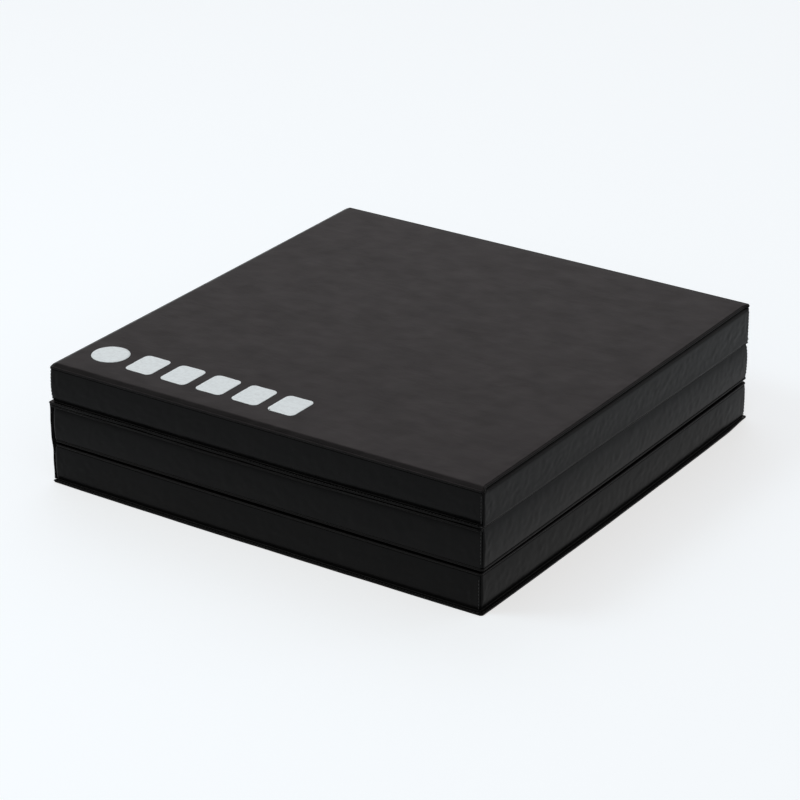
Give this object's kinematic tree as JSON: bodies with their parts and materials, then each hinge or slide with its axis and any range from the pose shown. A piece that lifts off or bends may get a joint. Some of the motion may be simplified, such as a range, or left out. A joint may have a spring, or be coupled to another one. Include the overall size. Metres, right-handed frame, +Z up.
{
  "type": "folding gym mat",
  "caption": "Padded floor mat in a Z-fold: foam panels in black coated-fabric covers with stitched lips, joined by two fabric folds.",
  "frame": {"origin": "bottom centre of the folded stack, on the floor", "axes": "+X along the unfolded length, away from the fold between the base and the middle panel; +Y along the fold lines; +Z up, out of the top panel's face"},
  "size_m": [0.61, 0.62, 0.1522],
  "materials": {
    "vinyl": "black coated fabric, fine pebble grain, satin",
    "back_vinyl": "black coated fabric, coarser non-slip grain, satin",
    "foam": "closed-cell polyethylene foam, matt",
    "thread": "bonded polyester sewing thread",
    "print": "light grey heat-pressed ink, matt"
  },
  "bodies": {
    "base_panel": {"base_back_sheet": "back_vinyl", "base_face_sheet": "vinyl", "base_far_gusset": "vinyl", "base_foam_core": "foam", "base_near_gusset": "vinyl", "base_right_gusset": "vinyl", "base_stitching": "thread", "left_hinge_sheet": "vinyl"},
    "middle_panel": {"middle_back_sheet": "back_vinyl", "middle_face_sheet": "vinyl", "middle_far_gusset": "vinyl", "middle_foam_core": "foam", "middle_near_gusset": "vinyl", "middle_right_gusset": "vinyl", "middle_stitching": "thread", "right_hinge_fold": "back_vinyl"},
    "top_panel": {"top_back_sheet": "back_vinyl", "top_face_sheet": "vinyl", "top_far_gusset": "vinyl", "top_foam_core": "foam", "top_left_gusset": "vinyl", "top_near_gusset": "vinyl", "top_printed_mark": "print", "top_right_gusset": "vinyl", "top_stitching": "thread"}
  },
  "joints": [
    {"name": "lower_fold", "type": "hinge", "parent": "base_panel", "child": "middle_panel", "pos_m": [-0.3, 0, 0.0505], "axis": [0, -1, 0], "range_deg": [0, 180], "deforming": ["left_hinge_sheet"]},
    {"name": "upper_fold", "type": "hinge", "parent": "middle_panel", "child": "top_panel", "pos_m": [0.301, 0, 0.1015], "axis": [0, 1, 0], "range_deg": [0, 180], "deforming": ["right_hinge_fold"]}
  ]
}
